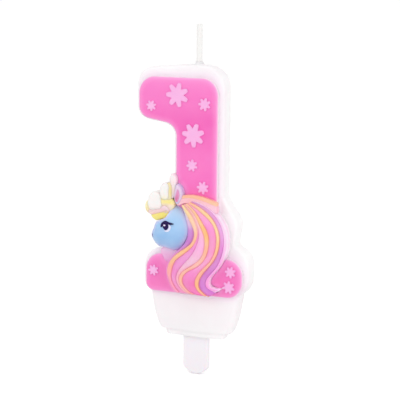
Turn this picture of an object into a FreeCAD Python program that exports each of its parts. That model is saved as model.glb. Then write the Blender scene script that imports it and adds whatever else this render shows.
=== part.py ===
import FreeCAD
import Part
import math
import os

# Number birthday candle: a white wax figure "1" on a tapered plinth, faced with a pink wax number,
# pressed wax stars and a pony's head with a striped mane, with a waxed wick and a flat plastic pick.
# Millimetres. X runs across the number, Y from its front (negative) to its back, Z is up.
# The origin is on the pick's axis, at the plinth's underside, where the candle sits on the cake.

# ---- driving dimensions ----
waxFront = -3.0         # front face of the white wax, which carries the coloured wax
waxBack = 4.0           # rear face of the white wax
frontRound = 0.7        # rounding of the white wax at the front
rearRound = 2.2         # rounding of the white wax at the back
relief = 2.0            # thickness of the pink number
reliefRound = 0.9       # rounding of the pink number's front edge

numberBottom = 14.5     # height of the number above the plinth's underside
numberHeight = 69.5
stemLeft = -5.8
stemRight = 8.6
flagLeft = -19.0        # tip of the number's flag
flagDepth = 13.8        # height of the flag where it meets the stem's line
flagDrop = 1.4          # how much thicker the flag is at the stem than at its tip
footLeft = -16.2
footRight = 17.6
footHeight = 12.6
footRound = 5.4         # corners at the foot's ends
flagRound = 5.6         # corners at the number's top

sideMargin = 1.3        # how far the white wax stands out beyond the number at its sides
topMargin = 3.5         # and above it
underMargin = 0.3       # and under the flag

plinthTop = (15.7, -3.0, 4.0)     # half width, front and back at each level, from the top down
plinthUpper = (14.8, -2.9, 3.9)
plinthLower = (13.7, -2.7, 3.7)
plinthHem = (12.2, -2.4, 3.4)
plinthStep = 1.9        # height of the narrower footing under the plinth
footingTop = (10.4, -2.0, 3.0)
footingBottom = (10.1, -1.9, 2.9)
plinthBulge = 0.8       # crown of the plinth's front
plinthCorner = 2.0      # upright corners of the plinth
footingCorner = 1.0

wickRadius = 0.95
wickTop = 100.5
wickBottom = 23.0
wickFit = 0.03          # clearance of the wick in the wax
collarHeight = 1.6      # wax that clings round the wick where it leaves the candle
collarRadius = 1.45

pickWidth = 8.7
pickThickness = 2.0
pickBelow = 12.6        # how far the pick reaches into the cake
pickTipRise = 2.7       # height of the rounded tip
pickInside = 18.0       # how far the pick reaches into the candle
pickFit = 0.1           # clearance of the pick in its socket, on each side
pickRound = 0.35

ponySize = 1.0          # scale of the head, mane and forelock
headFront = -8.6        # most forward point of the head
maneBack = -5.0         # seat of the locks on the mane's bed
maneFront = -8.0        # most forward point of the locks
seam = 0.08             # gap between neighbouring locks
lowLock = 0.25          # how far the darker locks lie below the light ones
deepLock = 0.9          # and the one beside the head
lockArch = 0.5          # rise of a lock's arched top above its sides
lockSink = 0.9          # how far a lock's top sinks at its two ends
crownFront = -6.6       # front of the lock that sweeps across the stem
tuftFront = -7.0
neckRise = 0.25         # how far the neck stands out beyond the number
paint = 0.25            # thickness of the eye's and ear's inlays
starThickness = 0.3
starPetals = 7
petalShape = [(0.54, -25.7), (0.82, -13.5), (0.97, -7.0), (0.97, 7.0), (0.82, 13.5)]    # reach, degrees

V = FreeCAD.Vector
numberTop = numberBottom + numberHeight
reliefFront = waxFront - relief


# ---- shapes ----
def roundedOutline(corners, y=0.0, level=None):
    """Closed wire of straight runs and tangent arcs; each corner is (across, up, radius).
    It stands in the XZ plane at y, or lies in the XY plane at the height level."""
    def spot(p):
        return V(p.x, p.y, level) if level is not None else V(p.x, y, p.y)
    points = [V(c[0], c[1], 0) for c in corners]
    count = len(points)
    turns = []
    for i, corner in enumerate(corners):
        into = (points[i] - points[i - 1]).normalize()
        out = (points[(i + 1) % count] - points[i]).normalize()
        half = into.getAngle(out) / 2
        turns.append((into, out, half, corner[2] * math.tan(half)))
    # two corners that meet on a short side both get tighter, so that a straight run stays between them
    room = []
    for i in range(count):
        following = (i + 1) % count
        length = (points[following] - points[i]).Length
        room.append(min(1.0, 0.96 * length / (turns[i][3] + turns[following][3])))
    arcs = []
    for i, corner in enumerate(corners):
        into, out, half, fullRun = turns[i]
        tighter = min(room[i - 1], room[i])
        radius, run = corner[2] * tighter, fullRun * tighter
        towards = (out - into).normalize()
        middle = points[i] + towards * (radius / math.cos(half) - radius)
        arcs.append((points[i] - into * run, middle, points[i] + out * run))
    edges = []
    for i, arc in enumerate(arcs):
        edges.append(Part.Arc(*[spot(p) for p in arc]).toShape())
        edges.append(Part.LineSegment(spot(arc[2]), spot(arcs[(i + 1) % count][0])).toShape())
    return Part.Wire(edges)


def upright(wire, back, front):
    """A slab between two Y values whose outline is the wire."""
    face = Part.Face(wire)
    face.translate(V(0, back - wire.BoundBox.YMin, 0))
    return face.extrude(V(0, front - back, 0))


def roundEdgesAt(solid, y, radius):
    """Rounds every edge that lies in the plane at y."""
    edges = [e for e in solid.Edges if all(abs(v.Y - y) < 1e-6 for v in e.Vertexes)]
    return solid.makeFillet(radius, edges)


def onPony(point):
    """A point of the pony's drawing, in the candle's frame; its heights start at the number's foot."""
    return V(ponySize * point[0], 0, numberBottom + ponySize * point[1])


def smoothLoop(points):
    curve = Part.BSplineCurve()
    curve.interpolate(Points=[onPony(p) for p in points], PeriodicFlag=True)
    return Part.Wire(curve.toShape())


def openCurve(points):
    curve = Part.BSplineCurve()
    curve.interpolate(Points=[onPony(p) for p in points])
    return curve.toShape()


def stations(points, count):
    """Evenly spaced points along the smooth curve through the points given."""
    curve = Part.BSplineCurve()
    curve.interpolate(Points=[V(p[0], 0, p[1]) for p in points])
    last = curve.LastParameter
    spots = [curve.value(last * i / (count - 1)) for i in range(count)]
    return [(spot.x, spot.z) for spot in spots]


def band(sideA, sideB):
    """Closed wire between two curves that run the same way."""
    edges = [openCurve(sideA), openCurve(sideB)]
    edges.append(Part.LineSegment(onPony(sideA[0]), onPony(sideB[0])).toShape())
    edges.append(Part.LineSegment(onPony(sideA[-1]), onPony(sideB[-1])).toShape())
    return Part.Wire(Part.sortEdges(edges)[0])


def shareAt(shares, t):
    """A smooth run through evenly spaced values, read at t from 0 to 1."""
    spot = t * (len(shares) - 1)
    i = min(int(spot), len(shares) - 2)
    f = spot - i
    before, first, second, after = (shares[min(max(k, 0), len(shares) - 1)] for k in range(i - 1, i + 3))
    bend = 2 * before - 5 * first + 4 * second - after
    twist = 3 * first - before - 3 * second + after
    return first + 0.5 * f * (second - before + f * (bend + f * twist))


def between(sideA, sideB, shares, nudge=0.0):
    """The curve that lies a share of the way from A to B, moved on towards B by nudge.
    The shares are evenly spaced from the curve's start to its end."""
    points = []
    for i, (a, b) in enumerate(zip(sideA, sideB)):
        part = shareAt(shares, i / (len(sideA) - 1)) + nudge / math.dist(a, b)
        points.append((a[0] + part * (b[0] - a[0]), a[1] + part * (b[1] - a[1])))
    return points


def dome(centre, front, radius):
    """A ball whose most forward point lies at front, over a point of the pony's drawing."""
    at = onPony(centre)
    return Part.makeSphere(ponySize * radius, V(at.x, front + ponySize * radius, at.z))


def without(shape, others):
    """The shape less every other shape whose box it meets."""
    for other in others:
        if shape.BoundBox.intersect(other.BoundBox):
            shape = shape.cut(other)
    return shape


# ---- the number's outline ----
def numberCorners(side, top, under):
    """Corners of the figure 1, grown by a margin at its sides, its top and under its flag."""
    footTop = numberBottom + footHeight
    flagUnder = numberTop - flagDepth - flagDrop
    return [
        (flagLeft - side, numberTop + top, flagRound),
        (stemRight + side, numberTop + top, flagRound),
        (stemRight + side, footTop + side, 3.0),
        (footRight + side, footTop + side, footRound),
        (footRight + side, numberBottom - under, footRound + side),
        (footLeft - side, numberBottom - under, 3.0),
        (footLeft - side, footTop + side, footRound),
        (stemLeft - side, footTop + side, 3.0),
        (stemLeft - side, flagUnder - under, 4.3),
        (flagLeft - side, flagUnder - under + 2.2, 4.2),
    ]


# ---- the pony's drawing ----
headPoints = [(-4.8, 29.2), (-5.9, 28.2), (-7.0, 26.4), (-7.7, 25.0), (-9.5, 24.0), (-11.3, 23.2),
              (-12.2, 21.2), (-13.7, 19.1), (-14.1, 17.6), (-13.2, 15.9), (-11.2, 14.8), (-8.4, 14.9),
              (-6.0, 14.2), (-3.9, 14.9), (-2.1, 16.9), (-0.7, 19.9), (-0.8, 23.0), (-2.0, 26.0),
              (-3.4, 28.2)]
neckPoints = [(-10.2, 14.4), (-7.6, 15.3), (-5.1, 14.6), (-4.4, 13.4), (-6.0, 11.8), (-7.5, 10.2),
              (-8.7, 10.3), (-9.7, 11.6), (-10.5, 13.0)]
earPoints = [(-4.1, 35.7), (-3.0, 34.5), (-2.5, 32.1), (-3.1, 30.2), (-4.3, 29.2), (-5.2, 30.3),
             (-5.3, 32.6), (-4.9, 34.8)]
earInnerPoints = [(-3.8, 34.1), (-3.4, 32.5), (-3.7, 30.8), (-4.3, 30.0), (-4.8, 30.8), (-4.5, 32.6)]
maneInner = [(-2.8, 29.0), (-1.8, 26.8), (-0.9, 24.0), (-0.4, 21.1), (-0.8, 18.2), (-3.3, 14.8),
             (-6.3, 11.7), (-7.7, 8.6), (-7.6, 5.7), (-6.6, 2.6), (-5.4, 0.9)]
maneMiddle = [(-0.5, 29.8), (2.6, 27.3), (4.9, 24.1), (6.9, 20.7), (7.2, 16.6), (5.6, 12.1),
              (2.4, 9.3), (-0.9, 7.3), (-2.0, 4.8), (-0.3, 2.1), (3.1, 0.7)]
maneThird = [(0.4, 30.3), (4.7, 28.5), (8.4, 25.5), (10.5, 21.7), (10.8, 17.2), (9.3, 12.8),
             (6.4, 9.2), (4.2, 6.2), (3.6, 3.9), (4.6, 1.9), (7.2, 0.5)]
maneOuter = [(1.4, 30.7), (5.7, 29.4), (9.8, 26.4), (12.3, 22.3), (12.9, 17.3), (11.9, 13.0),
             (9.4, 8.8), (7.2, 5.9), (7.1, 4.2), (8.9, 3.2), (12.0, 3.9)]
# Where each lock ends, as shares of the way between two lines, evenly spaced from crown to tips.
purpleEdge = (0.10, 0.22, 0.36, 0.31, 0.11, 0.07, 0.09, 0.14, 0.14)
orangeEdge = (0.34, 0.56, 0.56, 0.44, 0.29, 0.21, 0.29, 0.29, 0.28)
roseEdge = (0.50, 0.67, 0.64, 0.53, 0.52, 0.54, 0.62, 0.65, 0.62)
paleEdge = (0.70, 0.79, 0.76, 0.82, 0.86, 0.82, 0.81, 0.77, 0.75)
pinkEdge = (0.30, 0.52, 0.73, 0.73, 0.71, 0.70, 0.74, 0.78, 0.78)
rimEdge = (0.74, 0.80, 0.82, 0.80, 0.76, 0.80, 0.82, 0.70, 0.50)
near, far = (0.0, 0.0), (1.0, 1.0)
maneLines = [maneInner, maneMiddle, maneThird, maneOuter]
maneTip = (10.2, 1.8)       # end of the bed under the outermost lock
lockStations = 25

crownUpper = [(-3.4, 31.9), (0.6, 32.5), (5.3, 31.9), (9.3, 30.6)]
crownLower = [(-4.2, 28.9), (-0.2, 30.0), (4.8, 28.9), (9.3, 27.4)]
crownSeam = (0.42, 0.36)

tuftFrontPoints = [(-12.7, 32.7), (-13.8, 31.8), (-14.4, 29.9), (-14.3, 28.1), (-13.4, 27.0),
                   (-11.8, 27.2), (-10.1, 27.6), (-10.0, 29.9), (-10.4, 31.7), (-11.5, 32.7)]
tuftFrontEdgePoints = [(-14.9, 29.6), (-15.4, 28.2), (-15.2, 26.8), (-13.8, 25.8), (-13.0, 26.4),
                       (-13.8, 27.6), (-14.3, 29.0)]
bandPinkPoints = [(-14.3, 26.6), (-13.4, 27.4), (-10.2, 27.8), (-8.9, 28.5), (-7.3, 27.8),
                  (-7.0, 26.7), (-9.6, 26.3), (-11.5, 25.8), (-13.2, 25.4)]
bandYellowPoints = [(-13.1, 25.4), (-11.5, 25.9), (-9.6, 26.4), (-7.3, 26.8), (-7.2, 25.2),
                    (-9.0, 24.4), (-10.7, 23.9), (-11.9, 23.8)]
tuftMiddlePoints = [(-10.1, 31.1), (-10.3, 33.4), (-9.9, 34.9), (-8.5, 35.8), (-7.5, 35.2),
                    (-7.4, 32.9), (-7.6, 30.8), (-9.0, 30.5)]
tuftMiddleEdgePoints = [(-7.3, 35.8), (-6.5, 35.1), (-6.3, 32.6), (-6.8, 30.5), (-7.8, 30.6),
                        (-7.6, 32.9)]
tuftBackPoints = [(-5.9, 38.8), (-5.2, 38.0), (-5.0, 35.2), (-5.3, 32.3), (-6.2, 31.0),
                  (-6.6, 32.9), (-6.7, 35.4), (-7.1, 36.8)]
tuftRootPoints = [(-10.2, 31.0), (-7.6, 31.2), (-6.4, 30.8), (-5.4, 29.4), (-5.9, 28.0),
                  (-7.1, 26.8), (-7.7, 27.7), (-9.0, 28.2), (-10.3, 27.7)]
backingPoints = [(-3.0, 38.0), (-6.0, 37.4), (-9.0, 34.8), (-12.2, 31.8), (-14.2, 29.4),
                 (-13.6, 26.6), (-11.2, 24.2), (-11.6, 21.0), (-12.9, 18.0), (-11.6, 15.8),
                 (-6.0, 13.6), (-2.0, 18.0), (-1.0, 28.0)]

eyeWhitePoints = [(-6.25, 22.9), (-5.75, 22.6), (-5.5, 21.9), (-5.9, 21.0), (-6.9, 20.5), (-7.9, 20.8),
                  (-7.2, 20.95), (-6.5, 21.4), (-6.2, 22.2)]
irisPoints = [(-8.4, 22.5), (-8.3, 23.2), (-7.6, 23.5), (-6.8, 23.3), (-6.35, 22.5), (-6.55, 21.6),
              (-7.2, 21.1), (-7.9, 21.5)]
glintPoints = [(-8.0, 22.7), (-7.65, 22.85), (-7.25, 22.6), (-7.6, 22.3)]
lashPoints = [(-9.0, 21.9), (-8.95, 22.9), (-8.4, 23.6), (-7.5, 24.0), (-6.5, 23.7), (-4.6, 23.1),
              (-6.2, 22.95), (-7.2, 23.3), (-8.1, 23.1), (-8.4, 22.6)]
nostrilPoints = [(-13.1, 19.1), (-12.8, 18.6), (-13.0, 17.9), (-13.4, 18.3)]

headCentre = (-7.0, 21.3)   # middle of the head's domed front
headRadius = 9.5


def headSurface(lift):
    """The head's domed front, grown outwards by lift."""
    return dome(headCentre, headFront - lift, headRadius + lift)


# ---- white wax: figure, plinth and the backing of the head ----
def plinthLevel(size, height, corner):
    """The plinth's outline at a height: a rounded oblong with a bowed front."""
    half, front, back = size
    corners = [
        (-half, back, corner),
        (-half, front, corner),
        (0.0, front - plinthBulge, 3.0 * half),
        (half, front, corner),
        (half, back, corner),
    ]
    return roundedOutline(corners, level=height)


def waxBody():
    corners = numberCorners(sideMargin, topMargin, underMargin)
    crest = ((flagLeft + stemRight) / 2 + 3.0, numberTop + topMargin + 0.5, 60.0)
    corners[0] = (flagLeft - sideMargin, numberTop + topMargin - 1.1, flagRound)
    corners.insert(1, crest)
    corners[2] = (stemRight + sideMargin, numberTop + topMargin, flagRound + 1.5)
    # the right side swells out behind the mane before it meets the foot
    stemSide = stemRight + sideMargin
    footReach = (footRight - stemSide) / 7.7
    shoulder, hollow = stemSide + 5.2 * footReach, stemSide + 3.9 * footReach
    swell = [onPony((stemSide, 32.0)), onPony((shoulder, 24.0)), onPony((hollow, 16.6))]
    corners[3] = (stemRight + sideMargin, swell[0].z, 6.0)
    corners.insert(4, (swell[1].x, swell[1].z, 5.0))
    corners.insert(5, (swell[2].x, swell[2].z, 1.6))
    slab = upright(roundedOutline(corners), waxBack, waxFront)
    slab = roundEdgesAt(slab, waxBack, rearRound)
    slab = roundEdgesAt(slab, waxFront, frontRound)
    backing = upright(smoothLoop(backingPoints), waxBack - rearRound, waxFront)
    levels = [
        plinthLevel(plinthTop, numberBottom, plinthCorner),
        plinthLevel(plinthUpper, 0.68 * numberBottom, plinthCorner),
        plinthLevel(plinthLower, 0.36 * numberBottom, plinthCorner),
        plinthLevel(plinthHem, plinthStep, plinthCorner),
    ]
    plinth = Part.makeLoft(levels, True, False)
    footing = Part.makeLoft([
        plinthLevel(footingTop, plinthStep, footingCorner),
        plinthLevel(footingBottom, 0.0, footingCorner),
    ], True, False)
    collarBase = numberTop + topMargin - 0.6
    collar = Part.makeCone(collarRadius + 0.5, wickRadius + 0.25, collarHeight + 0.6,
                           V(0, 0, collarBase))
    body = slab.fuse([backing, plinth, footing, collar]).removeSplitter()
    bore = Part.makeCylinder(wickRadius + wickFit, wickTop - wickBottom, V(0, 0, wickBottom))
    socket = Part.makeBox(pickWidth + 2 * pickFit, pickThickness + 2 * pickFit, pickInside + 1,
                          V(-pickWidth / 2 - pickFit, -pickThickness / 2 - pickFit, -1))
    return body.cut(bore).cut(socket)


def wick():
    return Part.makeCylinder(wickRadius, wickTop - wickBottom, V(0, 0, wickBottom))


def pick():
    half = pickWidth / 2
    shoulder = -pickBelow + pickTipRise
    tip = Part.Arc(V(half, 0, shoulder), V(0, 0, -pickBelow), V(-half, 0, shoulder)).toShape()
    rise = Part.makePolygon([V(-half, 0, shoulder), V(-half, 0, pickInside - 1.5),
                             V(-half + 1.0, 0, pickInside), V(half - 1.0, 0, pickInside),
                             V(half, 0, pickInside - 1.5), V(half, 0, shoulder)])
    blade = upright(Part.Wire([tip] + rise.Edges), pickThickness / 2, -pickThickness / 2)
    blade = roundEdgesAt(blade, -pickThickness / 2, pickRound)
    return roundEdgesAt(blade, pickThickness / 2, pickRound)


# ---- stars ----
def star(x, z, radius, turn):
    """A seven-petalled star pressed on the pink wax; turn is the way one petal points, in degrees."""
    def spot(reach, angle):
        angle = math.radians(turn + angle)
        return V(x + radius * reach * math.cos(angle), 0, z + radius * reach * math.sin(angle))
    points = []
    for petal in range(starPetals):
        for reach, step in petalShape:
            points.append(spot(reach, petal * 360.0 / starPetals + step))
    outline = Part.makePolygon(points + points[:1])
    return upright(outline, reliefFront, reliefFront - starThickness)


def stars():
    stem = (stemLeft + stemRight) / 2
    places = [
        (stem - 6.6, numberTop - 5.6, 4.0, 180.0),
        (stem - 1.0, numberTop - 18.1, 3.95, 172.0),
        (flagLeft + 4.7, numberTop - 9.4, 1.8, 170.0),
        (stem + 2.8, numberTop - 8.2, 2.15, 178.0),
        (stem - 1.3, numberTop - 27.7, 2.0, 186.0),
        (stem + 2.5, numberTop - 34.6, 2.1, 175.0),
        (footLeft + 3.0, numberBottom + 6.9, 1.9, 182.0),
        (footRight - 3.9, numberBottom + 8.6, 1.95, 174.0),
        (footRight - 4.4, numberBottom + 3.7, 2.15, 190.0),
    ]
    return {f"star_{i + 1}": star(*place) for i, place in enumerate(places)}


# ---- head, ear and eye ----
def head():
    block = upright(smoothLoop(headPoints), waxFront, headFront - 1.0)
    return block.common(headSurface(0.0))


def inlay(points, lift, below=()):
    """A thin piece that lies on the head's domed front, over the pieces given."""
    prism = upright(smoothLoop(points), waxFront, headFront - 2.0)
    return without(prism.common(headSurface(lift)), [headSurface(0.0)] + list(below))


def face():
    parts = {}
    parts["eye_iris"] = inlay(irisPoints, 1.6 * paint)
    glintHole = upright(smoothLoop(glintPoints), waxFront, headFront - 2.0)
    parts["eye_iris"] = parts["eye_iris"].cut(glintHole)
    parts["eye_glint"] = inlay(glintPoints, 2.0 * paint)
    parts["eyelash"] = inlay(lashPoints, 1.8 * paint, [parts["eye_iris"], parts["eye_glint"]])
    parts["eye_white"] = inlay(eyeWhitePoints, paint)
    parts["nostril"] = inlay(nostrilPoints, paint)
    return parts


def ear(headSolid):
    inner = upright(smoothLoop(earInnerPoints), tuftFront + 0.4, tuftFront - 0.3)
    outer = upright(smoothLoop(earPoints), waxFront, tuftFront)
    return {"ear": without(outer, [headSolid, inner]), "ear_inner": without(inner, [headSolid])}


# ---- forelock: white tufts with coloured edges ----
def forelock(taken):
    parts = {}
    drawing = [
        ("forelock_tuft_front", tuftFrontPoints, tuftFront - 0.2),
        ("forelock_tuft_middle", tuftMiddlePoints, tuftFront),
        ("forelock_tuft_back", tuftBackPoints, tuftFront + 0.4),
        ("forelock_band_yellow", bandYellowPoints, tuftFront + 0.2),
        ("forelock_band_pink", bandPinkPoints, tuftFront + 0.1),
        ("forelock_edge_front", tuftFrontEdgePoints, tuftFront + 0.2),
        ("forelock_edge_middle", tuftMiddleEdgePoints, tuftFront + 0.3),
        ("forelock_root", tuftRootPoints, tuftFront + 0.3),
    ]
    for name, points, front in drawing:
        solid = upright(smoothLoop(points), waxFront, front)
        parts[name] = without(solid, taken + list(parts.values()))
    return parts


# ---- mane ----
def lock(sideA, sideB, shareA, shareB, front):
    """A ridged lock between two shares of the way across a pair of lines down the mane.
    Each section stands on the bed, and its arched top sinks towards the lock's two ends."""
    left = between(sideA, sideB, shareA, seam / 2)
    right = between(sideA, sideB, shareB, -seam / 2)
    middle = (len(left) - 1) / 2
    sections = []
    for i, (a, b) in enumerate(zip(left, right)):
        top = front + lockSink * ((i - middle) / middle) ** 2
        shoulder = top + min(lockArch, 0.3 * ponySize * math.dist(a, b))
        a, b = onPony(a), onPony(b)
        crest = (a + b) * 0.5
        low = [V(p.x, maneBack, p.z) for p in (a, b)]
        high = [V(p.x, shoulder, p.z) for p in (a, b)]
        arch = Part.Arc(high[0], V(crest.x, top, crest.z), high[1]).toShape()
        sides = [Part.LineSegment(high[1], low[1]).toShape(),
                 Part.LineSegment(low[1], low[0]).toShape(),
                 Part.LineSegment(low[0], high[0]).toShape()]
        sections.append(Part.Wire([arch] + sides))
    return Part.makeLoft(sections, True, False)


def mane():
    inner, middle, third, outer = [stations(line, lockStations) for line in maneLines]
    low = maneFront + lowLock
    return {
        "mane_purple_inner": lock(inner, middle, near, purpleEdge, maneFront + deepLock),
        "mane_orange_inner": lock(inner, middle, purpleEdge, orangeEdge, maneFront),
        "mane_rose": lock(inner, middle, orangeEdge, roseEdge, low),
        "mane_pale": lock(inner, middle, roseEdge, paleEdge, maneFront),
        "mane_orange_middle": lock(inner, middle, paleEdge, far, maneFront),
        "mane_pink": lock(middle, third, near, pinkEdge, maneFront),
        "mane_orange_outer": lock(middle, third, pinkEdge, far, maneFront),
        "mane_purple_outer": lock(third, outer, near, rimEdge, low),
        "mane_rim": lock(third, outer, rimEdge, far, low),
    }


def crown(below):
    """The lock that sweeps from behind the ear across the stem, in two strips."""
    parts = {}
    for name, first, last in (("crown_lock_upper", near, crownSeam),
                              ("crown_lock_lower", crownSeam, far)):
        left = between(crownUpper, crownLower, first, seam / 2)
        right = between(crownUpper, crownLower, last, -seam / 2)
        parts[name] = without(upright(band(left, right), reliefFront, crownFront), below)
    return parts


def numberFront(taken):
    """The pink face, which the pony parts into a panel above it and a panel below."""
    slab = upright(roundedOutline(numberCorners(0.0, 0.0, 0.0)), waxFront, reliefFront)
    slab = roundEdgesAt(slab, reliefFront, reliefRound)
    panels = sorted(without(slab, taken).Solids, key=lambda panel: panel.Volume)[-2:]
    lower, upper = sorted(panels, key=lambda panel: panel.CenterOfMass.z)
    return {"number_front_upper": upper, "number_front_lower": lower}


# ---- all pieces ----
def build():
    reach = maneOuter[:-1] + [maneTip]
    footprint = upright(band(maneInner, reach), waxFront, maneFront - 3.0)
    bed = upright(band(maneInner, reach), waxFront, maneBack)
    headSolid = head()
    ears = ear(headSolid)
    tufts = forelock([headSolid] + list(ears.values()))
    locks = mane()
    parts = {"wax_body": waxBody(), "wick": wick(), "pick": pick()}
    parts["head"] = headSolid.cut(footprint)
    parts.update(face())
    for name, solid in {**ears, **tufts}.items():
        parts[name] = without(solid, [footprint])
    front = [parts["head"]] + [parts[name] for name in list(ears) + list(tufts)]
    neck = upright(smoothLoop(neckPoints), waxFront, reliefFront - neckRise)
    parts["neck"] = without(neck, [footprint] + front)
    front.append(parts["neck"])
    parts.update(locks)
    parts.update(crown([footprint] + front))
    parts["mane_bed"] = bed
    parts.update(numberFront(front + [bed]))
    parts.update(stars())
    return parts


os.makedirs("parts", exist_ok=True)
for name, solid in build().items():
    print(name, len(solid.Solids), round(solid.Volume, 2), solid.isValid())
    solid.exportStep(f"parts/{name}.step")
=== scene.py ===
import math
import bmesh
import bpy
from mathutils import Matrix, Quaternion, Vector, kdtree, noise


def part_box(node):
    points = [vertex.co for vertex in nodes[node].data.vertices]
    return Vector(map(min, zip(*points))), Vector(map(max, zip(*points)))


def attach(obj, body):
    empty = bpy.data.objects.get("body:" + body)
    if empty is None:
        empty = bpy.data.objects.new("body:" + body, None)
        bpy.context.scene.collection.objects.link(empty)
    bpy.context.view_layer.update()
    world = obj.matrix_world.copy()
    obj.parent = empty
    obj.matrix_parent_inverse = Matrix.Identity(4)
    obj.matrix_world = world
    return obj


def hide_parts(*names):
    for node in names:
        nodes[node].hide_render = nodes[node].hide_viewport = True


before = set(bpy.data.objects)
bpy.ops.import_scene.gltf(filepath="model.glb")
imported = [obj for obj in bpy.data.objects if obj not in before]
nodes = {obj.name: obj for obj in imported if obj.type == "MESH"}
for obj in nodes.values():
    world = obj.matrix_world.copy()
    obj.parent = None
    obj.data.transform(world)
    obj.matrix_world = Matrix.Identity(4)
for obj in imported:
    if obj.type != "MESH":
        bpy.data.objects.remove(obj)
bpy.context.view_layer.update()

mm = 0.001
scene = bpy.context.scene


cameraView = {
    "azimuth": 24.0,
    "elevation": 9.0,
    "distance": 480 * mm,
    "target": Vector((0.7, 0, 44.6)) * mm,
    "lean": 0.6,        # degrees, the figure leans a little to the right
    "lens": 135,
    "sensor": 36,
    "nearest": 10 * mm,
}


def makeCamera(v):
    az, el = math.radians(v["azimuth"]), math.radians(v["elevation"])
    away = Vector((math.sin(az) * math.cos(el), -math.cos(az) * math.cos(el), math.sin(el)))
    data = bpy.data.cameras.new("camera")
    data.lens = v["lens"]
    data.sensor_width = v["sensor"]
    data.clip_start = v["nearest"]
    camera = bpy.data.objects.new("camera", data)
    scene.collection.objects.link(camera)
    turn = away.to_track_quat("Z", "Y") @ Quaternion((0, 0, 1), math.radians(v["lean"]))
    place = v["target"] + away * v["distance"]
    camera.matrix_world = Matrix.Translation(place) @ turn.to_matrix().to_4x4()
    scene.camera = camera


makeCamera(cameraView)


def give(tree, socket, value):
    # a value is a number, a colour or another node's socket
    if isinstance(value, bpy.types.NodeSocket):
        tree.links.new(value, socket)
    else:
        socket.default_value = value


def maths(tree, operation, *values):
    node = tree.nodes.new("ShaderNodeMath")
    node.operation = operation
    for socket, value in zip(node.inputs, values):
        give(tree, socket, value)
    return node.outputs[0]


def remap(tree, value, low, high, toLow=0, toHigh=1, curve="LINEAR"):
    node = tree.nodes.new("ShaderNodeMapRange")
    node.interpolation_type = curve
    ends = {"Value": value, "From Min": low, "From Max": high, "To Min": toLow, "To Max": toHigh}
    for name, end in ends.items():
        give(tree, node.inputs[name], end)
    return node.outputs[0]


def mixColour(tree, factor, first, second):
    mix = tree.nodes.new("ShaderNodeMix")
    mix.data_type = "RGBA"
    factorSocket, firstSocket, secondSocket = mix.inputs[0], mix.inputs[6], mix.inputs[7]
    give(tree, factorSocket, factor)
    give(tree, firstSocket, first)
    give(tree, secondSocket, second)
    return mix.outputs[2]


def noiseTexture(tree, place, scale, detail):
    texture = tree.nodes.new("ShaderNodeTexNoise")
    tree.links.new(place, texture.inputs["Vector"])
    give(tree, texture.inputs["Scale"], scale)
    texture.inputs["Detail"].default_value = detail
    return texture.outputs["Fac"]


def bumped(tree, height, strength, depth):
    # depth in mm
    bump = tree.nodes.new("ShaderNodeBump")
    bump.inputs["Strength"].default_value = strength
    bump.inputs["Distance"].default_value = depth * mm
    tree.links.new(height, bump.inputs["Height"])
    return bump.outputs["Normal"]


lightSet = {
    "lamps": {
        "key": {"place": (-260, -420, 330), "size": 260 * mm, "power": 0.42},
        "fill": {"place": (460, -250, 120), "size": 300 * mm, "power": 0.5},
        "top": {"place": (40, 120, 420), "size": 300 * mm, "power": 0.06},
    },
    "sky": 0.86,
    "skyColour": (1, 0.995, 0.99, 1),
    "backdrop": (1, 1, 1, 1),
}


def makeLamp(name, s):
    lamp = bpy.data.lights.new(name, "AREA")
    lamp.size = s["size"]
    lamp.energy = s["power"]
    place = Vector(s["place"]) * mm
    turn = (place - cameraView["target"]).to_track_quat("Z", "Y")
    holder = bpy.data.objects.new(name, lamp)
    holder.matrix_world = Matrix.Translation(place) @ turn.to_matrix().to_4x4()
    scene.collection.objects.link(holder)


def makeSky(s):
    # soft light on the candle, and plain white where the sky is seen, mirrored or looked at through something
    world = bpy.data.worlds.new("studio")
    scene.world = world
    world.use_nodes = True
    tree = world.node_tree
    tree.nodes.clear()
    path = tree.nodes.new("ShaderNodeLightPath")
    seen = maths(tree, "MAXIMUM", path.outputs["Is Camera Ray"], path.outputs["Is Transmission Ray"])
    clear = maths(tree, "MAXIMUM", seen, path.outputs["Is Glossy Ray"])
    soft = tree.nodes.new("ShaderNodeBackground")
    soft.inputs["Strength"].default_value = s["sky"]
    soft.inputs["Color"].default_value = s["skyColour"]
    white = tree.nodes.new("ShaderNodeBackground")
    white.inputs["Color"].default_value = s["backdrop"]
    mix = tree.nodes.new("ShaderNodeMixShader")
    out = tree.nodes.new("ShaderNodeOutputWorld")
    tree.links.new(clear, mix.inputs[0])
    tree.links.new(soft.outputs[0], mix.inputs[1])
    tree.links.new(white.outputs[0], mix.inputs[2])
    tree.links.new(mix.outputs[0], out.inputs[0])


paleFloor = {
    "size": 6.0,        # metres from the middle to the edge
    "gap": 0.02,        # mm below the pick's tip
    "shade": (0.9, 0.9, 0.9, 1),
    "lift": 0.24,       # extra brightness as the camera sees it
}


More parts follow.
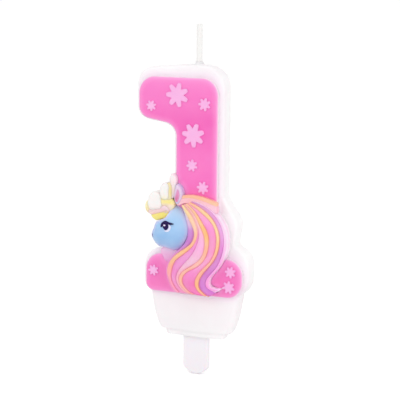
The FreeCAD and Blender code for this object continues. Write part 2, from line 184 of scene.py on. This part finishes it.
def makeFloor(s):
    bm = bmesh.new()
    bmesh.ops.create_grid(bm, x_segments=2, y_segments=2, size=s["size"])
    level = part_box("pick")[0].z - s["gap"] * mm
    bmesh.ops.translate(bm, verts=bm.verts, vec=(0, 0, level))
    mesh = bpy.data.meshes.new("floor")
    bm.to_mesh(mesh)
    bm.free()
    floor = bpy.data.objects.new("floor", mesh)
    scene.collection.objects.link(floor)
    material = bpy.data.materials.new("paleFloor")
    material.use_nodes = True
    tree = material.node_tree
    tree.nodes.clear()
    diffuse = tree.nodes.new("ShaderNodeBsdfDiffuse")
    diffuse.inputs["Color"].default_value = s["shade"]
    path = tree.nodes.new("ShaderNodeLightPath")
    glow = tree.nodes.new("ShaderNodeEmission")
    lift = maths(tree, "MULTIPLY", path.outputs["Is Camera Ray"], s["lift"])
    tree.links.new(lift, glow.inputs["Strength"])
    add = tree.nodes.new("ShaderNodeAddShader")
    out = tree.nodes.new("ShaderNodeOutputMaterial")
    tree.links.new(diffuse.outputs[0], add.inputs[0])
    tree.links.new(glow.outputs[0], add.inputs[1])
    tree.links.new(add.outputs[0], out.inputs[0])
    mesh.materials.append(material)


for lampName, lampSpec in lightSet["lamps"].items():
    makeLamp(lampName, lampSpec)
makeSky(lightSet)
makeFloor(paleFloor)
scene.view_settings.view_transform = "Standard"
print("stage set")


def tint(r, g, b):
    # display colour, 0 to 255, as a linear one
    def linear(c):
        c /= 255
        return ((c + 0.055) / 1.055) ** 2.4 if c > 0.04045 else c / 12.92
    return (linear(r), linear(g), linear(b), 1)


def bands(*stops):
    # each stop is a height in mm and a display colour
    return [(height, tint(r, g, b)) for height, r, g, b in stops]


waxSkin = {
    "mottleDetail": 4,
    "grainDetail": 3,
    "grainHeight": 0.35,        # next to the mottle's
    "pitScale": 0.22,           # share of the grain's scale
    "pitShare": 0.16,           # of the cells hold a pit
    "pitFloor": 0.05,
    "pitEdge": 0.14,
    "roughSwing": 0.07,
    "roughRange": (0.3, 0.7),
    "toneRange": (0.32, 0.68),
}


def waxGrainGroup(s):
    # soft mottling of poured wax, its fine skin, and small pits left by bubbles
    group = bpy.data.node_groups.new("waxGrain", "ShaderNodeTree")
    face = group.interface
    entries = {"Mottle Scale": 120.0, "Grain Scale": 1500.0, "Roughness": 0.4, "Pits": 0.5}
    for name, value in entries.items():
        socket = face.new_socket(name, in_out="INPUT", socket_type="NodeSocketFloat")
        socket.default_value = value
    for name in ("Tone", "Roughness", "Height"):
        face.new_socket(name, in_out="OUTPUT", socket_type="NodeSocketFloat")
    into = group.nodes.new("NodeGroupInput").outputs
    out = group.nodes.new("NodeGroupOutput").inputs
    place = group.nodes.new("ShaderNodeTexCoord").outputs["Object"]
    mottle = noiseTexture(group, place, into["Mottle Scale"], s["mottleDetail"])
    grain = noiseTexture(group, place, into["Grain Scale"], s["grainDetail"])

    cells = group.nodes.new("ShaderNodeTexVoronoi")
    cells.inputs["Randomness"].default_value = 1
    group.links.new(place, cells.inputs["Vector"])
    group.links.new(maths(group, "MULTIPLY", into["Grain Scale"], s["pitScale"]), cells.inputs["Scale"])
    cellColour = group.nodes.new("ShaderNodeSeparateColor")
    group.links.new(cells.outputs["Color"], cellColour.inputs["Color"])
    pitted = maths(group, "LESS_THAN", cellColour.outputs["Red"], s["pitShare"])
    hollow = remap(group, cells.outputs["Distance"], s["pitFloor"], s["pitEdge"], 1, 0)
    pits = maths(group, "MULTIPLY", maths(group, "MULTIPLY", hollow, pitted), into["Pits"])

    skin = maths(group, "MULTIPLY_ADD", grain, s["grainHeight"], mottle)
    swing = remap(group, mottle, *s["roughRange"], -s["roughSwing"], s["roughSwing"])
    group.links.new(remap(group, mottle, *s["toneRange"]), out["Tone"])
    group.links.new(maths(group, "ADD", into["Roughness"], swing), out["Roughness"])
    group.links.new(maths(group, "SUBTRACT", skin, pits), out["Height"])
    return group


waxGrain = waxGrainGroup(waxSkin)


def grainNode(tree, mottle, grain, roughness, pits):
    node = tree.nodes.new("ShaderNodeGroup")
    node.node_tree = waxGrain
    node.inputs["Mottle Scale"].default_value = mottle
    node.inputs["Grain Scale"].default_value = grain
    node.inputs["Roughness"].default_value = roughness
    node.inputs["Pits"].default_value = pits
    return node.outputs


def ramp(tree, value, stops):
    # stops are (position in mm, colour); value is a distance in metres
    first, last = stops[0][0], stops[-1][0]
    colours = tree.nodes.new("ShaderNodeValToRGB")
    tree.links.new(remap(tree, value, first * mm, last * mm), colours.inputs["Fac"])
    band = colours.color_ramp
    band.interpolation = "EASE"
    while len(band.elements) < len(stops):
        band.elements.new(0.5)
    for element, (place, colour) in zip(band.elements, stops):
        element.position = (place - first) / (last - first)
        element.color = colour
    return colours.outputs["Color"]


plainWax = {
    "mottle": 130.0,
    "grain": 1600.0,
    "roughness": 0.42,
    "pits": 0.4,
    "pale": (1, 1, 1, 1),
    "cloud": 0.1,               # how far the mottle takes the colour towards the pale one
    "rimAmount": 0.8,
    "relief": 0.35,
    "reliefDepth": 0.08,        # mm
    "glow": 0.35,
    "glowRadius": (1.0, 0.7, 0.7),
    "glowDepth": 1.2,           # mm
    "shine": 0.32,
    "coat": 0.12,
    "coatRoughness": 0.25,
}


def waxMaterial(name, finishing):
    # bands: colours by height; rim: colour at the outline; back: colour towards the piece's seat
    spec = {**plainWax, **finishing}
    material = bpy.data.materials.new(name)
    material.use_nodes = True
    tree = material.node_tree
    shader = tree.nodes["Principled BSDF"].inputs
    grain = grainNode(tree, spec["mottle"], spec["grain"], spec["roughness"], spec["pits"])
    place = tree.nodes.new("ShaderNodeTexCoord")
    split = tree.nodes.new("ShaderNodeSeparateXYZ")
    tree.links.new(place.outputs["Object"], split.inputs[0])
    if "bands" in spec:
        colour = ramp(tree, split.outputs["Z"], spec["bands"])
    else:
        colour = spec["colour"]
    clouded = mixColour(tree, spec["cloud"], colour, spec["pale"])
    colour = mixColour(tree, grain["Tone"], colour, clouded)
    if "rim" in spec:
        edge = tree.nodes.new("ShaderNodeAttribute")
        edge.attribute_name = "rim"
        amount = maths(tree, "MULTIPLY", edge.outputs["Fac"], spec["rimAmount"])
        colour = mixColour(tree, amount, colour, spec["rim"])
    if "back" in spec:
        backFrom, backTo = spec["backFrom"] * mm, spec["backTo"] * mm
        depth = remap(tree, split.outputs["Y"], backFrom, backTo, curve="SMOOTHSTEP")
        colour = mixColour(tree, depth, colour, spec["back"])
    tree.links.new(colour, shader["Base Color"])
    tree.links.new(grain["Roughness"], shader["Roughness"])
    normal = bumped(tree, grain["Height"], spec["relief"], spec["reliefDepth"])
    tree.links.new(normal, shader["Normal"])
    shader["Subsurface Weight"].default_value = spec["glow"]
    shader["Subsurface Radius"].default_value = spec["glowRadius"]
    shader["Subsurface Scale"].default_value = spec["glowDepth"] * mm
    shader["Specular IOR Level"].default_value = spec["shine"]
    shader["Coat Weight"].default_value = spec["coat"]
    shader["Coat Roughness"].default_value = spec["coatRoughness"]
    return material


waxCast = {
    "merge": 0.0005,        # mm, points this close are one
    "soften": 0.5,
    "wallTilt": 0.45,       # how far a side wall may lean to the front or the back
    "rimFade": 1.5,
}


def copyOf(node):
    # a merged copy of a node's mesh, as a new piece
    bm = bmesh.new()
    bm.from_mesh(nodes[node].data)
    bmesh.ops.remove_doubles(bm, verts=bm.verts, dist=waxCast["merge"] * mm)
    mesh = bpy.data.meshes.new(node + "_wax")
    bm.to_mesh(mesh)
    bm.free()
    piece = bpy.data.objects.new(node + "_wax", mesh)
    scene.collection.objects.link(piece)
    return piece


def settle(piece):
    # the modifiers become the mesh
    bpy.context.view_layer.update()
    seen = piece.evaluated_get(bpy.context.evaluated_depsgraph_get())
    mesh = bpy.data.meshes.new_from_object(seen)
    piece.modifiers.clear()
    piece.data = mesh


def soften(piece, rounds):
    smooth = piece.modifiers.new("soften", "SMOOTH")
    smooth.factor = waxCast["soften"]
    smooth.iterations = rounds
    settle(piece)


def recast(piece, voxel, rounds):
    # even quads at the voxel's size, with every edge softened
    cast = piece.modifiers.new("cast", "REMESH")
    cast.mode = "VOXEL"
    cast.voxel_size = voxel * mm
    cast.use_smooth_shade = True
    soften(piece, rounds)


def outlineTree(*meshes):
    # the pieces' upright walls, seen from the front
    walls = [v.co for mesh in meshes for v in mesh.vertices if abs(v.normal.y) < waxCast["wallTilt"]]
    tree = kdtree.KDTree(len(walls))
    for i, co in enumerate(walls):
        tree.insert((co.x, 0, co.z), i)
    tree.balance()
    return tree


def outlineReach(tree, co):
    # distance from the outline, seen from the front
    return tree.find((co.x, 0, co.z))[2]


def swell(piece, width, height):
    # the front sinks towards the outline, as a drop of wax does
    mesh = piece.data
    front = min(v.co.y for v in mesh.vertices)
    tree = outlineTree(mesh)
    for v in mesh.vertices:
        reach = min(outlineReach(tree, v.co) / (width * mm), 1)
        drop = height * mm * (1 - math.sqrt(1 - (1 - reach) ** 2))
        v.co.y = max(v.co.y, front + drop)
    mesh.update()


def markRim(piece, width):
    # 1 at the outline, fading to 0 inside
    mesh = piece.data
    tree = outlineTree(mesh)
    rim = mesh.attributes.new("rim", "FLOAT", "POINT")
    for i, v in enumerate(mesh.vertices):
        reach = min(outlineReach(tree, v.co) / (width * mm), 1)
        rim.data[i].value = (1 - reach) ** waxCast["rimFade"]


def finish(piece, node, material):
    mesh = piece.data
    mesh.materials.clear()
    mesh.materials.append(material)
    mesh.polygons.foreach_set("use_smooth", [True] * len(mesh.polygons))
    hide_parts(node)
    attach(piece, "candle")


def plump(mesh, amount):
    # wax fills out to meet its neighbours
    outwards = [v.normal.copy() for v in mesh.vertices]
    for v, out in zip(mesh.vertices, outwards):
        v.co += out * amount * mm


def waxPiece(node, spec, material):
    piece = copyOf(node)
    recast(piece, spec["voxel"], spec["rounds"])
    if "plump" in spec:
        plump(piece.data, spec["plump"])
    if "swell" in spec:
        swell(piece, *spec["swell"])
        soften(piece, spec["after"])
    if "shape" in spec:
        spec["shape"](piece.data)
    if "rim" in spec:
        markRim(piece, spec["rim"])
    finish(piece, node, material)
    return piece


numberWax = {
    "voxel": 0.25,
    "rounds": 4,
    "rim": 2.2,
    "finish": {
        "bands": bands((14, 246, 122, 192), (22, 243, 118, 192), (27, 247, 130, 200),
                       (36, 245, 112, 193), (58, 246, 114, 195), (69, 240, 92, 184), (77, 246, 120, 198),
                       (84, 250, 134, 206)),
        "pale": tint(253, 165, 218), "cloud": 0.2, "mottle": 85.0,
        "rim": tint(253, 164, 220), "rimAmount": 0.75,
        "back": tint(253, 238, 247), "backFrom": -4.95, "backTo": -4.0,
        "roughness": 0.38, "glow": 0.25, "glowDepth": 0.7,
    },
}
pinkFinish = waxMaterial("pinkWax", numberWax["finish"])
panels = [waxPiece(node, numberWax, pinkFinish).data for node in ("number_front_upper", "number_front_lower")]
print("number made")


bodyWax = {
    "voxel": 0.3,
    "rounds": 6,
    "cove": 1.1,            # mm, width of the wax that runs up to the number
    "coveRise": 1.1,        # mm, its height at the number
    "coveFacing": -0.5,     # only where the wax faces the front
    "waves": [(130, 0.07), (420, 0.02)],        # waves per metre and their height in mm
    "paintedPinkGlow": 3.0,           # mm, width of the painted pink glow: pink light shining from the number into the white wax
    "paintedPinkGlowEnd": 0.2,        # mm, no painted glow behind this depth
    "paintedPinkGlowFade": 2.4,       # mm, over which it thins out before that
    "finish": {
        "pale": tint(253, 250, 252), "cloud": 0.6,
        # the bands are darker low down, at the plinth (partly the pick seen through the wax, partly painted
        # shade), and at the top edge (painted shade)
        "bands": bands((0, 248, 243, 246), (6, 246, 240, 243), (14, 245, 237, 240), (22, 252, 248, 250),
                       (76, 252, 248, 251), (86, 244, 239, 243)),
        # the rim colour here is the painted pink glow next to the number
        "rim": tint(255, 222, 243), "rimAmount": 0.8,
        "mottle": 70.0, "roughness": 0.45, "glow": 0.45, "glowDepth": 2.5,
        "glowRadius": (1.0, 0.86, 0.9), "pits": 0.6, "relief": 0.4,
    },
}


def pourBody(mesh):
    # hand-poured wax is never quite flat
    outwards = [v.normal.copy() for v in mesh.vertices]
    for v, out in zip(mesh.vertices, outwards):
        wave = sum(noise.noise(v.co * rate) * height for rate, height in bodyWax["waves"])
        v.co += out * wave * mm

    # the wax runs up to the pink number in a small cove
    tree = outlineTree(*panels)
    paintedPinkGlow = mesh.attributes.new("rim", "FLOAT", "POINT")
    for i, (v, out) in enumerate(zip(mesh.vertices, outwards)):
        reach = outlineReach(tree, v.co)
        near = reach / (bodyWax["cove"] * mm)
        if out.y < bodyWax["coveFacing"] and near < 1:
            v.co.y -= bodyWax["coveRise"] * mm * (1 - near) ** 2
        # the painted pink glow stays on the front and thins out round the side
        forward = min(1, max(0, (bodyWax["paintedPinkGlowEnd"] * mm - v.co.y) / (bodyWax["paintedPinkGlowFade"] * mm)))
        paintedPinkGlow.data[i].value = forward * max(0, 1 - reach / (bodyWax["paintedPinkGlow"] * mm)) ** 2


bodyWax["shape"] = pourBody
waxPiece("wax_body", bodyWax, waxMaterial("whiteWax", bodyWax["finish"]))
print("body poured")


starWax = {
    "voxel": 0.12,
    "rounds": 3,
    "rim": 0.45,
    "plump": 0.05,
    "finish": {
        "colour": tint(250, 180, 228), "pale": tint(252, 196, 235), "cloud": 0.4,
        "rim": tint(249, 156, 217), "rimAmount": 0.7,
        "roughness": 0.42, "glow": 0.3, "glowDepth": 0.6, "grain": 2600.0,
    },
}
starFinish = waxMaterial("starWax", starWax["finish"])
for node in [n for n in nodes if n.startswith("star_")]:
    waxPiece(node, starWax, starFinish)
print("stars made")


maneWax = {"voxel": 0.15, "rounds": 4, "rim": 0.35, "plump": 0.12}
# fuller locks close up against their neighbours (mm)
fullLocks = {"mane_purple_inner": 0.2, "mane_orange_inner": 0.16, "mane_rose": 0.16, "crown_lock_lower": 0.26}
lockFinish = {
    "rimAmount": 0.4, "cloud": 0.18, "roughness": 0.36, "glow": 0.3, "glowDepth": 0.6,
    "grain": 2200.0, "pits": 0.2, "coat": 0.2,
}
maneColours = {
    "mane_purple_inner": {
        "bands": bands((15, 246, 128, 196), (22, 244, 138, 204), (27, 232, 136, 208),
                       (31, 204, 118, 208), (35.5, 206, 122, 212), (38, 226, 188, 226),
                       (41, 234, 222, 232), (43.5, 248, 228, 176)),
        "rim": tint(226, 160, 214)},
    "mane_orange_inner": {
        "bands": bands((15, 246, 132, 184), (19, 250, 146, 182), (22, 255, 166, 160),
                       (26, 250, 188, 140), (29.5, 255, 186, 122), (33, 254, 186, 146),
                       (37, 253, 198, 162), (44, 250, 216, 150)),
        "rim": tint(248, 160, 160)},
    "mane_rose": {
        "bands": bands((15, 243, 134, 194), (22, 239, 140, 205), (26, 236, 142, 210),
                       (30, 240, 134, 206), (34, 244, 136, 200), (37.5, 252, 178, 182),
                       (44, 252, 186, 178)),
        "rim": tint(238, 128, 190)},
    "mane_pale": {
        "bands": bands((15, 250, 182, 186), (21, 248, 172, 196), (26, 240, 182, 214),
                       (31, 251, 174, 222), (35, 251, 180, 214), (38, 253, 196, 194), (44, 252, 182, 168)),
        "rim": tint(247, 160, 196)},
    "mane_orange_middle": {
        "bands": bands((15, 251, 166, 164), (20, 253, 182, 154), (25, 252, 176, 160),
                       (30, 253, 180, 144), (34, 255, 190, 116), (39, 254, 194, 124), (44, 252, 192, 150)),
        "rim": tint(250, 164, 150)},
    "mane_pink": {
        "bands": bands((14, 245, 100, 182), (18, 240, 120, 188), (22, 245, 130, 202),
                       (27, 247, 148, 200), (32, 245, 140, 196), (38, 251, 150, 212),
                       (42, 246, 152, 202), (45, 252, 170, 164)),
        "rim": tint(241, 126, 190)},
    "mane_orange_outer": {
        "bands": bands((14, 255, 172, 142), (18, 255, 186, 122), (22, 254, 172, 142),
                       (27, 254, 174, 146), (31, 254, 194, 142), (36, 254, 212, 160),
                       (41, 254, 206, 136), (45, 253, 184, 146)),
        "rim": tint(251, 168, 146)},
    "mane_purple_outer": {
        "bands": bands((14, 238, 114, 200), (17, 208, 98, 206), (22, 212, 108, 202), (27, 216, 122, 204),
                       (32, 228, 142, 214), (37, 232, 162, 224), (41, 224, 140, 210), (45, 216, 134, 190)),
        "rim": tint(218, 118, 202)},
    "mane_rim": {
        "bands": bands((14, 246, 122, 206), (19, 253, 146, 220), (25, 252, 160, 226),
                       (30, 250, 190, 236), (36, 252, 206, 240), (45, 246, 176, 220)),
        "rim": tint(253, 206, 238),
        "back": tint(254, 228, 247), "backFrom": -7.3, "backTo": -6.6},
    "crown_lock_upper": {
        "bands": bands((42, 254, 204, 150), (47, 254, 184, 146)), "rim": tint(251, 176, 150)},
    "crown_lock_lower": {
        "bands": bands((42, 253, 196, 216), (47, 252, 182, 186)), "rim": tint(249, 162, 190)},
}
for node, colours in maneColours.items():
    finishing = waxMaterial(node + "Wax", {**lockFinish, **colours})
    fullness = fullLocks.get(node, maneWax["plump"])
    waxPiece(node, {**maneWax, "plump": fullness}, finishing)

bedWax = {
    "voxel": 0.3, "rounds": 2, "rim": 0.7,
    "finish": {
        "cloud": 0.3, "rim": tint(253, 218, 240), "rimAmount": 1.0,
        "bands": bands((36, 248, 150, 208), (42, 252, 186, 184)),
        "back": tint(253, 238, 246), "backFrom": -4.6, "backTo": -3.4,
    },
}
waxPiece("mane_bed", bedWax, waxMaterial("maneBedWax", bedWax["finish"]))
print("mane made")


headWax = {
    "voxel": 0.18,
    "rounds": 5,
    "rim": 1.3,
    "plump": 0.1,
    "finish": {
        "bands": bands((28, 166, 194, 235), (33, 148, 192, 237), (38, 166, 204, 242), (43, 188, 210, 240)),
        "pale": tint(190, 218, 246), "cloud": 0.35, "mottle": 160.0,
        "rim": tint(220, 210, 242), "rimAmount": 0.8,
        "roughness": 0.38, "glow": 0.35, "glowDepth": 1.0, "coat": 0.12, "pits": 0.2,
    },
}
# each place across and up, its reach and its rise, all in mm
headForm = [
    ((-11.4, 32.6), 2.2, 0.35),     # muzzle
    ((-3.6, 33.2), 2.6, 0.3),       # cheek
    ((-9.2, 31.0), 1.4, -0.25),     # hollow behind the mouth
    ((-3.2, 40.2), 1.6, 0.25),      # brow
]
headFacing = -0.2       # only where the wax faces the front


def modelHead(mesh):
    facing = [v for v in mesh.vertices if v.normal.y < headFacing]
    for v in facing:
        for (x, z), reach, rise in headForm:
            gap = math.hypot(v.co.x - x * mm, v.co.z - z * mm) / (reach * mm)
            v.co.y -= rise * mm * math.exp(-gap * gap)


headWax["shape"] = modelHead
waxPiece("head", headWax, waxMaterial("blueWax", headWax["finish"]))

neckWax = {
    "voxel": 0.2, "rounds": 4, "rim": 0.6, "plump": 0.08,
    "finish": {
        "pale": tint(246, 214, 234), "cloud": 0.25,
        "bands": bands((24.5, 240, 150, 210), (26.5, 236, 176, 220), (29, 226, 194, 224)),
        "rim": tint(240, 160, 214), "rimAmount": 0.5,
    },
}
waxPiece("neck", neckWax, waxMaterial("neckWax", neckWax["finish"]))

earWax = {"voxel": 0.18, "rounds": 4, "rim": 0.6, "plump": 0.12, "swell": (1.2, 0.9), "after": 3}
innerEarWax = {"voxel": 0.12, "rounds": 3, "rim": 0.4}
earFinish = {"roughness": 0.4, "glow": 0.3}
waxPiece("ear", earWax, waxMaterial("lavenderWax", {
    **earFinish, "glowDepth": 0.8, "rim": tint(206, 190, 230),
    "bands": bands((43, 196, 196, 234), (46, 228, 200, 228), (50, 232, 206, 230))}))
waxPiece("ear_inner", innerEarWax, waxMaterial("roseWax", {
    **earFinish, "glowDepth": 0.6, "rim": tint(232, 160, 204),
    "bands": bands((45, 214, 108, 160), (49, 232, 160, 204))}))
print("head made")


tuftWax = {"voxel": 0.17, "rounds": 4, "rim": 0.8, "plump": 0.11, "swell": (1.1, 0.45), "after": 3}
stripWax = {"voxel": 0.15, "rounds": 3, "rim": 0.5, "plump": 0.14, "swell": (0.8, 0.35), "after": 3}
cream = {"roughness": 0.42, "glow": 0.45, "glowDepth": 1.6, "cloud": 0.3, "rimAmount": 0.6}
forelock = {
    "forelock_tuft_front": (tuftWax, {"rim": tint(244, 234, 230),
        "bands": bands((41, 248, 226, 222), (44, 246, 238, 236), (47, 241, 239, 236))}),
    # the middle tuft's grey rim is painted shade at its rounded edge
    "forelock_tuft_middle": (tuftWax, {"rim": tint(232, 226, 228),
        "bands": bands((45, 250, 236, 196), (47, 244, 240, 234), (50, 242, 238, 238))}),
    # the back tuft's darker lowest band is painted shade
    "forelock_tuft_back": (tuftWax, {"rim": tint(242, 228, 232),
        "bands": bands((45, 232, 206, 214), (48, 248, 212, 204), (50, 250, 222, 224), (53, 240, 232, 234))}),
    "forelock_band_yellow": (stripWax, {"rim": tint(243, 222, 136),
        "bands": bands((38, 238, 226, 124), (40, 249, 224, 84), (42, 250, 218, 112))}),
    "forelock_band_pink": (stripWax, {"rim": tint(246, 190, 186),
        "bands": bands((39, 249, 200, 170), (41, 246, 196, 196), (43, 240, 208, 222))}),
    "forelock_edge_front": (stripWax, {"rim": tint(251, 228, 150),
        "bands": bands((40, 250, 208, 176), (42, 252, 224, 140), (45, 250, 240, 190))}),
    "forelock_edge_middle": (stripWax, {"rim": tint(248, 222, 150),
        "bands": bands((45, 238, 220, 180), (48, 250, 222, 140), (51, 250, 232, 200))}),
    "forelock_root": ({**tuftWax, "plump": 0.22}, {"rim": tint(250, 232, 160),
        "bands": bands((41.5, 244, 206, 218), (43, 248, 216, 196), (44.2, 254, 228, 130),
                       (46, 252, 238, 160))}),
}
for node, (shape, finishing) in forelock.items():
    waxPiece(node, shape, waxMaterial(node + "Wax", {**cream, **finishing}))
print("forelock made")


def fineMaterial(name, colour, pale, look):
    # for what isn't cast in wax; "shader" holds what differs from the shader's own defaults
    material = bpy.data.materials.new(name)
    material.use_nodes = True
    tree = material.node_tree
    shader = tree.nodes["Principled BSDF"].inputs
    grain = grainNode(tree, look["mottle"], look["grain"], look["roughness"], look["pits"])
    tree.links.new(mixColour(tree, grain["Tone"], colour, pale), shader["Base Color"])
    tree.links.new(grain["Roughness"], shader["Roughness"])
    normal = bumped(tree, grain["Height"], look["relief"], look["reliefDepth"])
    tree.links.new(normal, shader["Normal"])
    for entry, value in look["shader"].items():
        shader[entry].default_value = value
    return material


def repaint(node, material):
    # a node that keeps its own mesh
    data = nodes[node].data
    data.materials.clear()
    data.materials.append(material)


paint = {
    "mottle": 900.0, "grain": 5000.0, "pits": 0.0, "relief": 0.2, "reliefDepth": 0.02,
    "shader": {"Specular IOR Level": 0.12, "Coat Weight": 0.04, "Coat Roughness": 0.3},
}
# colour, its paler cloud, and roughness
eyePaint = {
    "eye_iris": (tint(28, 8, 66), tint(38, 16, 80), 0.5),
    "eyelash": (tint(30, 14, 70), tint(42, 24, 86), 0.5),
    "eye_glint": (tint(214, 200, 232), tint(230, 220, 244), 0.3),
    "eye_white": (tint(222, 222, 248), tint(232, 232, 252), 0.4),
    "nostril": (tint(112, 112, 164), tint(126, 128, 180), 0.45),
}
for node, (colour, pale, roughness) in eyePaint.items():
    repaint(node, fineMaterial(node + "Paint", colour, pale, {**paint, "roughness": roughness}))
print("eye painted")


wickMake = {
    "strands": 3,
    "lobe": 0.06,       # how far each strand stands out, as a share of the radius
    "pitch": 7.0,       # mm for one full turn
    "below": 3.0,       # mm hidden in the wax
    "sides": 36,
    "steps": 96,
    "merge": 0.001,     # mm, points this close are one
    "endInset": 0.15,   # mm, the end's soft edge
    "endRise": 0.06,
}


def makeWick(w):
    low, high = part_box("wick")
    radius = (high.x - low.x) / 2
    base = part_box("wax_body")[1].z - w["below"] * mm
    length = high.z - base
    bm = bmesh.new()
    ring = bmesh.ops.create_circle(bm, segments=w["sides"], radius=radius, cap_ends=False)
    for v in ring["verts"]:
        angle = math.atan2(v.co.y, v.co.x) * w["strands"]
        v.co *= 1 - w["lobe"] * (1 - abs(math.cos(angle / 2)))
    bmesh.ops.translate(bm, verts=bm.verts, vec=(0, 0, base))
    turns = length / (w["pitch"] * mm)
    bmesh.ops.spin(bm, geom=bm.verts[:] + bm.edges[:], cent=(0, 0, 0), axis=(0, 0, 1),
                   dvec=(0, 0, length / w["steps"]), angle=turns * 2 * math.pi,
                   steps=w["steps"], use_duplicate=False)
    bmesh.ops.remove_doubles(bm, verts=bm.verts, dist=w["merge"] * mm)
    ends = bmesh.ops.holes_fill(bm, edges=[e for e in bm.edges if e.is_boundary], sides=0)
    bmesh.ops.inset_region(bm, faces=ends["faces"],
                           thickness=w["endInset"] * mm, depth=w["endRise"] * mm)
    bmesh.ops.poke(bm, faces=ends["faces"])
    bmesh.ops.recalc_face_normals(bm, faces=bm.faces)
    mesh = bpy.data.meshes.new("wick_braid")
    bm.to_mesh(mesh)
    bm.free()
    wick = bpy.data.objects.new("wick_braid", mesh)
    scene.collection.objects.link(wick)
    return wick


waxedCotton = {
    "fibre": 6500,
    "fibreDetail": 3,
    "stretch": (1, 1, 0.12),    # fibres are long up the wick
    "colour": tint(232, 230, 229), "pale": tint(251, 251, 249),
    "relief": 0.25, "reliefDepth": 0.02,
    "shader": {
        "Roughness": 0.6, "Specular IOR Level": 0.2, "Subsurface Weight": 0.15,
        "Subsurface Radius": (1.0, 0.9, 0.9), "Subsurface Scale": 0.5 * mm,
    },
}


def wickMaterial(w):
    material = bpy.data.materials.new("waxedCotton")
    material.use_nodes = True
    tree = material.node_tree
    shader = tree.nodes["Principled BSDF"].inputs
    place = tree.nodes.new("ShaderNodeTexCoord")
    stretch = tree.nodes.new("ShaderNodeMapping")
    stretch.inputs["Scale"].default_value = w["stretch"]
    tree.links.new(place.outputs["Object"], stretch.inputs[0])
    fibre = noiseTexture(tree, stretch.outputs[0], w["fibre"], w["fibreDetail"])
    tree.links.new(mixColour(tree, fibre, w["colour"], w["pale"]), shader["Base Color"])
    tree.links.new(bumped(tree, fibre, w["relief"], w["reliefDepth"]), shader["Normal"])
    for entry, value in w["shader"].items():
        shader[entry].default_value = value
    return material


finish(makeWick(wickMake), "wick", wickMaterial(waxedCotton))
print("wick twisted")


milkyPlastic = {
    "mottle": 60.0, "grain": 4000.0, "roughness": 0.38, "pits": 0.0,
    "relief": 0.05, "reliefDepth": 0.01,
    "shader": {"Subsurface Weight": 0.15, "Subsurface Scale": 1.0 * mm},
}
repaint("pick", fineMaterial("milkyPlastic", tint(243, 239, 244), tint(245, 241, 246), milkyPlastic))
print("pick finished")
